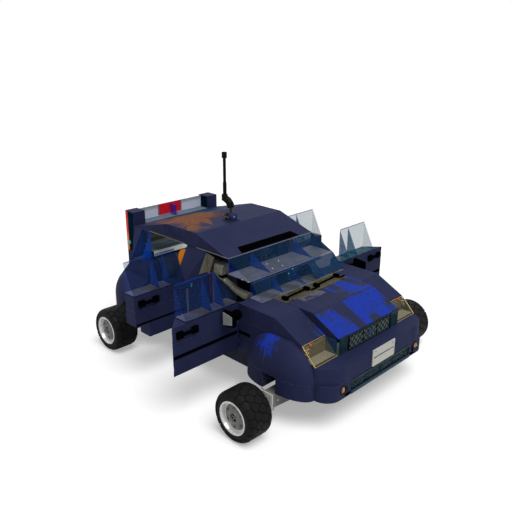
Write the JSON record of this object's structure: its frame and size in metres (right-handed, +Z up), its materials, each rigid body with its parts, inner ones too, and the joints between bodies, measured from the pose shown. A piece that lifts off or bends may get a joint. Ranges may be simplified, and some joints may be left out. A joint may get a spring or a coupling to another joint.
{
  "type": "police patrol car",
  "caption": "Block-built navy patrol car with four thick doors open, wedge glazing, a light bar on tail posts, a roof mast antenna and wheels on outboard arms.",
  "frame": {"origin": "on the road, under the middle of the overall box", "axes": "+X to the car's left, nose towards -Y, +Z up"},
  "size_m": [3.988, 4.024, 2.7069],
  "materials": {
    "paint": "satin navy paint with scuffs, blue overspray and rust",
    "underbody": "dull dark underbody paint",
    "blue_glass": "clear blue-grey glazing",
    "grey_glass": "grey translucent plastic",
    "dark_glass": "dark teal glass",
    "amber_glass": "yellowed clear lens",
    "fog_lens": "pinkish white lens in a black bezel",
    "tail_lens": "red lens with an orange lower part",
    "light_bar": "ribbed lens, clear with red and blue blocks",
    "plate": "bare pressed plate",
    "mesh": "black open mesh",
    "black_plastic": "black moulded plastic",
    "dash": "grey-olive dashboard",
    "cowl_metal": "grey-olive cowl",
    "seat_cloth": "worn grey upholstery",
    "engine": "dark casting",
    "antenna": "black and olive fittings",
    "bare_metal": "dull grey metal",
    "tyre": "chunky black rubber",
    "rim": "machined silver"
  },
  "bodies": {
    "body": {"floor_pan": "underbody", "front_bumper": "paint", "rear_bumper": "paint", "intake_pane": "dark_glass", "fog_lamps": "fog_lens", "number_plates": "plate", "grille": "mesh", "headlamps": "amber_glass", "wipers": "black_plastic", "windshield": "blue_glass", "dashboard": "dash", "roof": "paint", "side_windows": "blue_glass", "tail_posts": "paint", "tail_lamps": "tail_lens", "light_bar_lens": "light_bar", "front_seats": "seat_cloth", "rear_bench": "seat_cloth", "engine": "engine", "antenna": "antenna", "wheel_arms": "bare_metal", "cowl": "cowl_metal", "light_bar_base": "grey_glass", "front_fenders": "paint", "b_pillars": "paint", "quarter_panels": "paint"},
    "right_front_door": {"right_front_door_panel": "paint", "right_front_door_glass": "blue_glass", "right_front_door_handle": "black_plastic", "right_front_door_mirror": "black_plastic"},
    "right_rear_door": {"right_rear_door_panel": "paint", "right_rear_door_glass": "blue_glass", "right_rear_door_handle": "black_plastic"},
    "left_front_door": {"left_front_door_panel": "paint", "left_front_door_glass": "blue_glass", "left_front_door_handle": "black_plastic", "left_front_door_mirror": "black_plastic"},
    "left_rear_door": {"left_rear_door_panel": "paint", "left_rear_door_glass": "blue_glass", "left_rear_door_handle": "black_plastic"},
    "right_knuckle": {"right_knuckle": "bare_metal"},
    "right_front_wheel": {"right_front_tyre": "tyre", "right_front_rim": "rim"},
    "right_rear_wheel": {"right_rear_tyre": "tyre", "right_rear_rim": "rim"},
    "left_knuckle": {"left_knuckle": "bare_metal"},
    "left_front_wheel": {"left_front_tyre": "tyre", "left_front_rim": "rim"},
    "left_rear_wheel": {"left_rear_tyre": "tyre", "left_rear_rim": "rim"},
    "hood": {"hood": "paint"},
    "tailgate": {"tailgate": "paint", "rear_window": "blue_glass"},
    "steering_wheel": {"steering_wheel": "black_plastic"}
  },
  "joints": [
    {"name": "right_front_door_hinge", "type": "hinge", "parent": "body", "child": "right_front_door", "pos_m": [-1, -0.6, 0.878], "axis": [0, 0, 1], "range_deg": [-90, 0]},
    {"name": "right_rear_door_hinge", "type": "hinge", "parent": "body", "child": "right_rear_door", "pos_m": [-1, 0.4, 0.878], "axis": [0, 0, 1], "range_deg": [-90, 0]},
    {"name": "left_front_door_hinge", "type": "hinge", "parent": "body", "child": "left_front_door", "pos_m": [1, -0.6, 0.878], "axis": [0, 0, -1], "range_deg": [-90, 0]},
    {"name": "left_rear_door_hinge", "type": "hinge", "parent": "body", "child": "left_rear_door", "pos_m": [1, 0.4, 0.878], "axis": [0, 0, -1], "range_deg": [-90, 0]},
    {"name": "right_steer", "type": "hinge", "parent": "body", "child": "right_knuckle", "pos_m": [-1.354, -1.324, 0.3], "axis": [0, 0, 1], "range_deg": [-30, 30]},
    {"name": "right_front_spin", "type": "hinge", "parent": "right_knuckle", "child": "right_front_wheel", "pos_m": [-1.623, -1.324, 0.3], "axis": [1, 0, 0], "continuous": true},
    {"name": "right_rear_spin", "type": "hinge", "parent": "body", "child": "right_rear_wheel", "pos_m": [-1.428, 1.454, 0.3], "axis": [1, 0, 0], "continuous": true},
    {"name": "left_steer", "type": "hinge", "parent": "body", "child": "left_knuckle", "pos_m": [1.354, -1.324, 0.3], "axis": [0, 0, 1], "range_deg": [-30, 30]},
    {"name": "left_front_spin", "type": "hinge", "parent": "left_knuckle", "child": "left_front_wheel", "pos_m": [1.623, -1.324, 0.3], "axis": [1, 0, 0], "continuous": true},
    {"name": "left_rear_spin", "type": "hinge", "parent": "body", "child": "left_rear_wheel", "pos_m": [1.428, 1.454, 0.3], "axis": [1, 0, 0], "continuous": true},
    {"name": "hood_hinge", "type": "hinge", "parent": "body", "child": "hood", "pos_m": [0, -1, 1.178], "axis": [-1, 0, 0], "range_deg": [0, 60]},
    {"name": "tailgate_hinge", "type": "hinge", "parent": "body", "child": "tailgate", "pos_m": [0, 2, 1.578], "axis": [1, 0, 0], "range_deg": [0, 80]},
    {"name": "steering_wheel_turn", "type": "hinge", "parent": "body", "child": "steering_wheel", "pos_m": [0.4, -0.45386, 1.14112], "axis": [0, 0.9063, 0.4226], "range_deg": [-360, 360]}
  ],
  "couplings": [
    {"joint": "left_steer", "follows": "right_steer", "ratio": 1},
    {"joint": "steering_wheel_turn", "follows": "right_steer", "ratio": 12}
  ]
}
